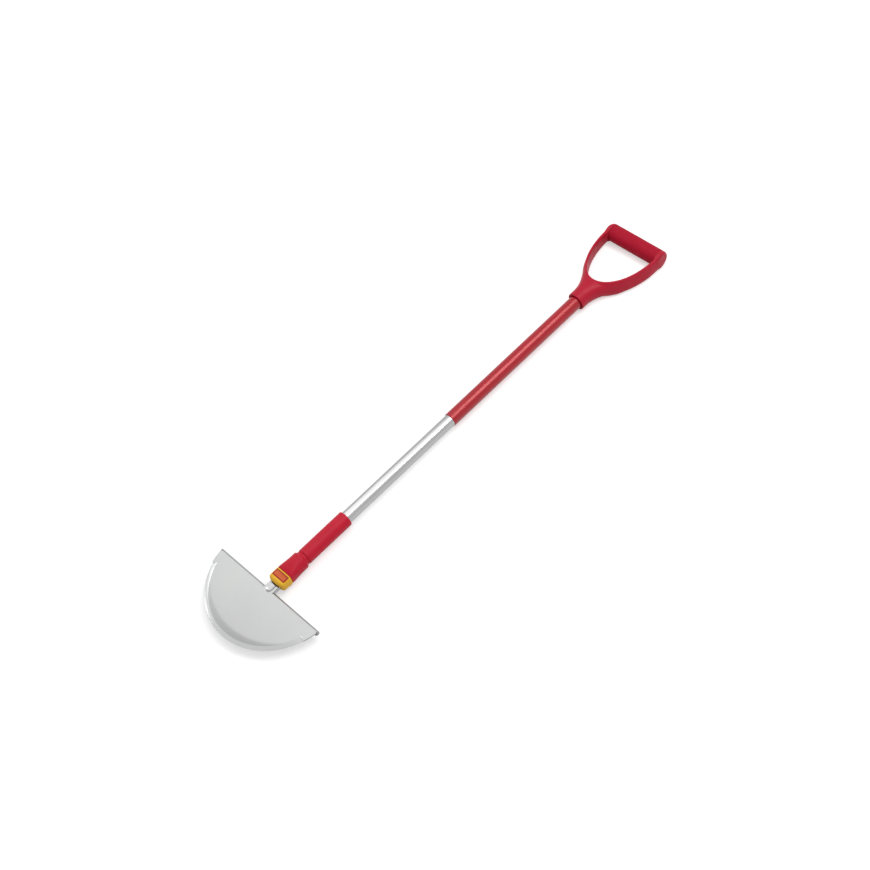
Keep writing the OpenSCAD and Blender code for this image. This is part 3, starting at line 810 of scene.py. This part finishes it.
# %% Sizes of the grip and the seat of its rivet
yoke_low, yoke_high = span("grip_yoke")
bar_low, bar_high = span("grip_cover")
bar_x = (bar_low[0] + bar_high[0]) / 2
bar_r = bar_high[2]
bar_half = bar_high[1]
collar_r = yoke_high[2]
arm_out = yoke_high[1]
arch_x = yoke_low[0] + 48.0
opening = {"x": bar_x - bar_r, "half": 50.5}
opening["l"] = opening["x"] - arch_x
outer = {"x": bar_x - bar_r / 2, "half": arm_out}
outer["l"] = outer["x"] - arch_x + 8.0
throat_x = yoke_low[0] + 13.0
throat_end = arch_x + 12.0
lobe_end = arch_x + 46.0
rivet_head_r = 4.5
rivet_head_h = 1.5
seat_gap = 0.4
seat_edge = 0.3
seat_reach = 40.0


def rivet_seat(x, y, z, node):
    """The flat seat of a rivet's head: a rod from behind, up to the head's inner face."""
    low, high = span(node)
    out = np.hypot(x - (low[0] + high[0]) / 2, y)
    radius = rivet_head_r + seat_gap
    return round_rod(z, out, low[2] - seat_reach, low[2] + rivet_head_h, radius, seat_edge)


print("opening:", round(opening["l"], 1), "mm long and", 2 * opening["half"], "mm wide")

# %% Throat and arms
lobe_sink = 4.0
throat_back = 4.0
throat_inset = 4.0
throat_soft = 2.0
web_depth = 14.4
arm_depth = 12.5
arm_past = 3.0
arm_end_soft = 9.0
arm_half_t = 4.2
arm_least = 2.0
throat_half_t = 12.0
trumpet_start = 2.05
trumpet_spread = 5.4
lean = 1.8
square = 0.62


def oval(x, y, ellipse, grow=0.0):
    """About the distance to a half ellipse: its level less one, over the length of its slope."""
    a, b = ellipse["l"] + grow, ellipse["half"] + grow
    u, v = (x - ellipse["x"]) / a, y / b
    level = np.sqrt(u ** 2 + v ** 2) + 1e-9
    return (level - 1) * level / np.sqrt((u / a) ** 2 + (v / b) ** 2 + 1e-12)


def squared_round(u, v, exponent, scale):
    """A squared-off round section: (|u|^n + |v|^n)^(1/n) - 1, times about its half thickness."""
    return ((np.abs(u) ** exponent + np.abs(v) ** exponent) ** (1 / exponent) - 1) * scale


def grip_throat(x, y, z):
    """The trumpet between collar and arms, cut back inside the band of the arms. Its two lobes
    sink into the arms towards their end, so that no step shows."""
    u = np.clip((x - throat_x) / (bar_x - throat_x), 0, 1)
    s = np.clip((x - throat_x) / (throat_end - throat_x), 0, 1)
    sink = smooth((x - throat_end) / (lobe_end - throat_end))
    depth = collar_r + (web_depth - collar_r) * s ** 3 - lobe_sink * sink
    half = collar_r + (arm_out - collar_r) * (1 - (1 - u ** trumpet_start) ** trumpet_spread)
    arm_half = arm_out * np.sqrt(np.clip(1 - ((outer["x"] - x) / outer["l"]) ** 2, 0, 1))
    half = half + (arm_half - lobe_sink - half) * sink
    half = half - lean * s * np.clip(z / depth, -1, 1)
    exponent = 2 / (1 + (square - 1) * s)
    section = squared_round(y / half, z / depth, exponent, throat_half_t) + lobe_sink * sink
    ends = np.maximum(throat_x - throat_back - x, x - lobe_end)
    return cut(np.maximum(section, ends), oval(x, y, opening, throat_inset), throat_soft)


def grip_arms(x, y, z):
    """The band between the two ellipses: its share across and its depth make a squared round."""
    inside = oval(x, y, opening)
    outside = -oval(x, y, outer)
    thick = np.maximum(inside + outside, arm_least)
    turn = np.arctan2(np.abs(y) / opening["half"], (opening["x"] - x) / opening["l"])
    turn = np.clip(turn / (np.pi / 2), 0, 1)
    depth = web_depth + (arm_depth - web_depth) * turn
    leaning = thick - lean * np.clip(z / depth, -1, 1)
    section = squared_round(2 * inside / leaning - 1, z / depth, 2 / square, arm_half_t)
    return -join(-section, bar_x + arm_past - x, arm_end_soft)


print("arms:", 2 * web_depth, "mm deep at the web and", 2 * arm_depth, "at the bar")

# %% The whole grip
shaft_r = span("shaft_sleeve")[1][1]
core_r = 9.0
core_run = 2.0
collar_run = 6.0
disc_inset = 1.0
cover_gap = 0.1
bore_depth = 29.3
bore_gap = 0.3
lead_depth = 2.2
lead_gap = 1.9
bore_past = 20.0
# The round of each edge, and the width of each soft join
grip_edges = {"collar": 1.4, "disc": 5.5, "cover": 0.2, "core": 1.0, "bore": 0.5, "lead": 0.6}
grip_joins = {"arms": 4.0, "disc": 5.0, "side": 2.5, "core": 0.5, "bore": 0.9, "lead": 0.8, "seat": 0.7}


def grip_field(x, y, z):
    """Collar, throat, arms and bar ends joined softly, less the shaft's bore and the rivet's seat."""
    out = np.hypot(y, z)
    across = np.hypot(x - bar_x, z)
    start = yoke_low[0]
    collar = round_rod(x, out, start, throat_x + collar_run, collar_r, grip_edges["collar"])
    form = np.minimum(collar, grip_throat(x, y, z))
    form = join(form, grip_arms(x, y, z), grip_joins["arms"])
    end = arm_out - disc_inset
    disc = round_rod(y, across, -end, end, bar_r, grip_edges["disc"])
    end = bar_half + cover_gap
    form = join(form, np.maximum(disc, end - np.abs(y)), grip_joins["disc"])
    form = -join(-form, arm_out - np.abs(y), grip_joins["side"])
    form = np.maximum(form, np.abs(z) - collar_r)
    form = np.maximum(form, -round_rod(y, across, -end, end, bar_r, grip_edges["cover"]))
    end = bar_half + core_run
    form = join(form, round_rod(y, across, -end, end, core_r, grip_edges["core"]), grip_joins["core"])
    before = start - bore_past
    bore = round_rod(x, out, before, start + bore_depth, shaft_r + bore_gap, grip_edges["bore"])
    lead = round_rod(x, out, before, start + lead_depth, shaft_r + lead_gap, grip_edges["lead"])
    form = cut(cut(form, bore, grip_joins["bore"]), lead, grip_joins["lead"])
    return cut(form, rivet_seat(x, y, z, "grip_rivet"), grip_joins["seat"])


points, faces = skin(grip_field, yoke_low, yoke_high, 0.8)
add_piece("d_grip", points, faces, "handle", red_plastic, ["grip_yoke"])

# %% [markdown]
# ### Hand bar
# The cover is a second moulding, softer and duller than the grip, between the two arms. A
# cylinder would do from afar. A turned ring has a wall as well, and soft ends that leave a
# fine line beside the arms.

# %% The soft cover of the hand bar
cover_in = core_r + cover_gap
cover_edges = [0.3, 0.3, 0.35, 0.35]


def bar_cover():
    """A ring with soft ends, its outline of (along, out) carried round the bar's own axis."""
    corners = [[-bar_half, cover_in], [bar_half, cover_in], [bar_half, bar_r], [-bar_half, bar_r]]
    points, faces = turned(soft_corners(corners, cover_edges))
    return np.stack([bar_x + points[:, 1], points[:, 0], points[:, 2]], axis=1), faces


points, faces = bar_cover()
add_piece("hand_bar", points, faces, "handle", grip_soft, ["grip_cover"])

# %% [markdown]
# ## Push-button socket
# Above the blade's neck sits a red housing that flares from the shaft to a wide mouth, and
# over the mouth a yellow button. Pressing the button bends a wire latch out of the tang,
# and the blade slides off. The housing's section changes from a rounded box to a circle,
# so its half width, front, back and corner are each a curve along the shaft.

# %% Sizes of the housing and its section
button_low, button_high = span("release_button")
housing_low, housing_high = span("socket_housing")
flare_x = button_high[0] + 0.3
shoulder_x = flare_x + 33.0
waist_x = span("lower_sleeve")[0][0]
mouth_half = button_high[1]
mouth_front = button_high[2]
mouth_back = button_low[2]
mouth_z = (mouth_front + mouth_back) / 2
mouth_height = (mouth_front - mouth_back) / 2
mouth_square = 4.0
shoulder_r = span("lower_sleeve")[1][1] + 2.0
waist_r = span("lower_sleeve")[1][1] - 0.7
neck_run = 3.5
flare_half_t = 12.0


def housing_section(x, y, z):
    """A squared-off round whose sizes run from the mouth's to the shoulder's,
    v = m + (s - m)(1 - (1 - t)^3), while it grows round."""
    t = np.clip((x - flare_x) / (shoulder_x - flare_x), 0, 1)
    drawn = 1 - (1 - t) ** 3
    neck = smooth((x - shoulder_x) / neck_run)
    round_r = shoulder_r + (waist_r - shoulder_r) * neck
    half, height, exponent = [
        first + (last - first) * drawn
        for first, last in zip((mouth_half, mouth_height, mouth_square), (round_r, round_r, 2.0))
    ]
    return squared_round(y / half, (z - mouth_z * (1 - drawn)) / height, exponent, flare_half_t)


print("mouth:", np.round([2 * mouth_half, 2 * mouth_height], 1), "shoulder:", round(2 * shoulder_r, 1))

# %% The housing with its pocket and the room for the wire
tang_half = 9.3
nose = ((2.6, -11.5, -8.0), (30.0, 11.5, 4.0))
pocket = ((-9.0, -tang_half, -5.8), (48.3, tang_half, 1.8))
leg_room = ((2.6, 11.5, -8.7), (48.1, 14.0, -3.6))
bar_room = ((10.8, -14.0, -12.0), (15.2, 14.0, -3.6))
spigot_r = 9.35
spigot_bore = 6.35
spigot_root = 4.0
spigot_past = 9.0
housing_edges = {"nose": 1.2, "spigot": 0.8, "hollow": 0.4}
housing_joins = {"end": 1.2, "nose": 0.8, "spigot": 0.4, "hollow": 0.5, "bore": 0.6}


def housing_field(x, y, z):
    """Flare, nose and spigot joined, less the tang's pocket and the room for the latch wire."""
    out = np.hypot(y, z)
    last = housing_high[0]
    ends = np.maximum(flare_x - x, x - waist_x)
    form = -join(-housing_section(x, y, z), -ends, housing_joins["end"])
    form = join(form, round_box(x, y, z, *nose, housing_edges["nose"]), housing_joins["nose"])
    spigot = round_rod(x, out, waist_x - spigot_root, last, spigot_r, housing_edges["spigot"])
    form = join(form, spigot, housing_joins["spigot"])
    edge = housing_edges["hollow"]
    soft = housing_joins["hollow"]
    form = cut(form, round_box(x, y, z, *pocket, edge), soft)
    bore = round_rod(x, out, waist_x, last + spigot_past, spigot_bore, edge)
    form = cut(form, bore, housing_joins["bore"])
    form = cut(form, round_box(x, np.abs(y), z, *leg_room, edge), soft)
    return cut(form, round_box(x, y, z, *bar_room, edge), soft)


points, faces = skin(housing_field, housing_low, housing_high, 0.6)
# The flare takes the red painted lighter: a lit copy of the grip's red.
add_piece("socket_flare", points, faces, "handle", red_painted_lighter, ["socket_housing"])

# %% [markdown]
# ### Lower sleeve
# The sleeve over the foot of the shaft is nearly a turned ring, but its back has a flat seat
# for a rivet's head. A turned grid can't hold that seat, so this sleeve is a field as well.

# %% The lower sleeve with its rivet's seat
foot_low, foot_high = span("lower_sleeve")
foot_r = foot_high[1]
foot_wall = 2.3
foot_past = 20.0
foot_edges = {"lower": 1.0, "upper": 1.9, "bore": 0.4}
foot_joins = {"bore": 0.6, "seat": 0.4}


def foot_field(x, y, z):
    """A rod with a small round below and a larger one above, less the bore and the rivet's seat."""
    first, last = foot_low[0], foot_high[0]
    before, after = first - foot_past, last + foot_past
    out = np.hypot(y, z)
    lower = round_rod(x, out, first, after, foot_r, foot_edges["lower"])
    upper = round_rod(x, out, before, last, foot_r, foot_edges["upper"])
    bore = round_rod(x, out, before, after, foot_r - foot_wall, foot_edges["bore"])
    form = cut(np.maximum(lower, upper), bore, foot_joins["bore"])
    return cut(form, rivet_seat(x, y, z, "socket_rivet"), foot_joins["seat"])


points, faces = skin(foot_field, foot_low, foot_high, 0.6)
# The foot sleeve takes the red painted lighter: a lit copy of the grip's red.
add_piece("foot_sleeve", points, faces, "handle", red_painted_lighter, ["lower_sleeve"])

# %% [markdown]
# ### Button and its pad
# The button is a thin cap: rounded at its lower end, hollow over the socket's nose and open
# at the back, with lips that hook under the nose. Its front carries a bare red pad in a
# shallow seat.

# %% Sizes of the button and the bow of its front
pad_low, pad_high = span("button_pad")
cheek_in = 13.9
roof = mouth_front - 3.3
button_nose = (7.5, 8.0)
nose_power = 2.4
nose_most = 0.9999
room_least = 0.1
button_wall = 1.6
button_half_t = 10.0
pad_wrap = 1.2
pad_gap = 0.15
button_past = 60.0
button_edges = {"hollow": 1.5, "hook": 0.4, "way": 0.5, "seat": 0.9}
button_joins = {"end": 0.7, "hollow": 0.4, "hook": 0.3, "way": 0.5, "seat": 0.3}


def front_bow(y):
    """How far the button's front falls away from its middle: h (1 - (1 - |y / w|^n)^(1/n))."""
    share = np.clip(np.abs(y / mouth_half), 0, 1)
    return mouth_height * (1 - (1 - share ** mouth_square) ** (1 / mouth_square))


print("the front falls by", round(float(front_bow(pad_high[1])), 2), "mm at the pad's side")

# %% Shell, hooks and the whole button
hook_root = cheek_in + 0.5
hollow = ((2.3, -cheek_in, -button_past), (button_past, cheek_in, roof))
lip = ((14.3, 10.4, -9.7), (19.7, hook_root, -8.1))
rib = ((14.3, 10.8, -3.8), (19.7, hook_root, roof + 0.5))
tang_way = ((-9.0, -tang_half, -button_past), (2.6, tang_half, 4.3))
pad_room = np.array([pad_gap, pad_wrap + pad_gap, 0.0])
pad_seat = (pad_low - pad_room, [*(pad_high + pad_room)[:2], button_past])


def button_shell(x, y, z):
    """A squared-off round that closes at its lower end, w = W (1 - u^p)^(1/p) with u from 0 to 1,
    less a hollow that stays one wall away from it."""
    plan = np.clip((button_nose[0] - x) / button_nose[0], 0, nose_most)
    side = np.clip((button_nose[1] - x) / button_nose[1], 0, nose_most)
    half = mouth_half * (1 - plan ** nose_power) ** (1 / nose_power)
    height = mouth_height * (1 - side ** nose_power) ** (1 / nose_power)
    rise = z - mouth_z
    form = np.maximum(squared_round(y / half, rise / height, mouth_square, button_half_t), -x)
    form = -join(-form, button_high[0] - x, button_joins["end"])
    half = np.maximum(half - button_wall, room_least)
    height = np.maximum(height - button_wall, room_least)
    room = squared_round(y / half, np.maximum(rise, 0) / height, mouth_square, button_half_t)
    room = np.maximum(room, round_box(x, y, z, *hollow, button_edges["hollow"]))
    return cut(form, room, button_joins["hollow"])


def button_field(x, y, z):
    """The shell with a lip under the socket's nose and a rib over it on both sides, less the
    tang's way and the pad's seat on the bow of the front."""
    form = button_shell(x, y, z)
    for hook in (lip, rib):
        form = join(form, round_box(x, np.abs(y), z, *hook, button_edges["hook"]), button_joins["hook"])
    form = cut(form, round_box(x, y, z, *tang_way, button_edges["way"]), button_joins["way"])
    seat = round_box(x, y, z + front_bow(y), *pad_seat, button_edges["seat"])
    return cut(form, seat, button_joins["seat"])


points, faces = skin(button_field, button_low, button_high, 0.4)
add_piece("push_button", points, faces, "button", yellow_plastic, ["release_button"])

# %% The pad in its seat
pad_sides = 120
pad_corner = 0.22
pad_sink = 0.05
rim_bands = 8


def pad_grid():
    """A cushion-cornered inlay: rings that shrink from its foot over a soft rim and a small step
    to the field in its middle, on the curve of the button's front."""
    a = np.linspace(0, 2 * np.pi, pad_sides, endpoint=False)
    across, along = np.cos(a), np.sin(a)
    soft_across = np.sign(across) * np.abs(across) ** pad_corner
    soft_along = np.sign(along) * np.abs(along) ** pad_corner
    middle = (pad_low + pad_high) / 2
    half = (pad_high - pad_low) / 2
    inset = np.array([2.5, 0.0, 0.0, 0.1, 0.3, 0.6, 1.7, 1.9, 2.1, 3.5, 4.5, 5.4])
    lift = np.array([0.0, 0.0, 0.8, 1.0, 1.12, 1.18, 1.2, 1.14, 1.05, 1.07, 1.08, 1.08])
    x = middle[0] + (half[0] - inset[:, None]) * soft_along
    y = middle[1] + (half[1] + pad_wrap - inset[:, None]) * soft_across
    z = pad_low[2] - pad_sink + lift[:, None] - front_bow(y)
    points = np.stack([x, y, z], -1).reshape(-1, 3)
    faces = [list(q) for q in grid_faces(len(inset), len(a), False, True)]
    first = list(range(len(a)))
    last = [len(points) - len(a) + k for k in range(len(a))]
    return points, faces + [first, last]


points, faces = pad_grid()
pad = add_piece("bare_pad", points, faces, "button", pad_edge, ["button_pad"])
pad.data.materials.append(pad_red)
band = np.arange(len(pad.data.polygons)) // pad_sides
pad.data.polygons.foreach_set("material_index", (band >= rim_bands).astype(np.int32))
print("pad faces in the lighter field:", int((band >= rim_bands).sum()))

# %% [markdown]
# ## Tang, latch and rivets
# These are small pressed and bent pieces whose imported shape is already right. What they lack
# is the soft edge that real metal has. So each is a copy of its node with its loose
# triangles merged, and tang and rivets get a narrow bevel on their sharp edges. In the tool the
# latch is a spring: its hooks stay in the housing and its bar follows the button, so its legs
# bend between them. Here it is a merged copy with its place baked in, and nothing bends it.

# %% Copies with soft edges
weld_gap = 1e-6
flat_angle = math.radians(1)
sharp_angle = math.radians(40)


def merged_copy(node, name, finish):
    """A smooth copy of a node whose loose triangles are merged into one closed mesh."""
    work = bmesh.new()
    work.from_mesh(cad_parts[node].data)
    bmesh.ops.remove_doubles(work, verts=work.verts, dist=weld_gap)
    bmesh.ops.dissolve_limit(work, angle_limit=flat_angle, verts=work.verts, edges=work.edges)
    mesh = bpy.data.meshes.new(name)
    work.to_mesh(mesh)
    work.free()
    mesh.materials.clear()
    mesh.materials.append(finish)
    mesh.polygons.foreach_set("use_smooth", np.ones(len(mesh.polygons), bool))
    piece = bpy.data.objects.new(name, mesh)
    scene.collection.objects.link(piece)
    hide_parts(node)
    print(name, ":", len(mesh.polygons), "faces")
    return piece


def soften(piece, width):
    """A bevel of some millimetres on a piece's sharp edges."""
    bevel = piece.modifiers.new("soft_edge", "BEVEL")
    bevel.width = width * 0.001
    bevel.segments = 2
    bevel.limit_method = "ANGLE"
    bevel.angle_limit = sharp_angle
    bevel.harden_normals = True


tang = merged_copy("tang", "pressed_tang", pressed_steel)
soften(tang, 0.4)
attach(tang, "head")
for node, name in (("socket_rivet", "foot_rivet"), ("grip_rivet", "collar_rivet")):
    rivet = merged_copy(node, name, rivet_metal)
    soften(rivet, 0.15)
    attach(rivet, "handle")

# %% The latch wire, a merged copy with its place baked in
wire = merged_copy("latch_spring", "latch_wire", wire_steel)
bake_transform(wire)
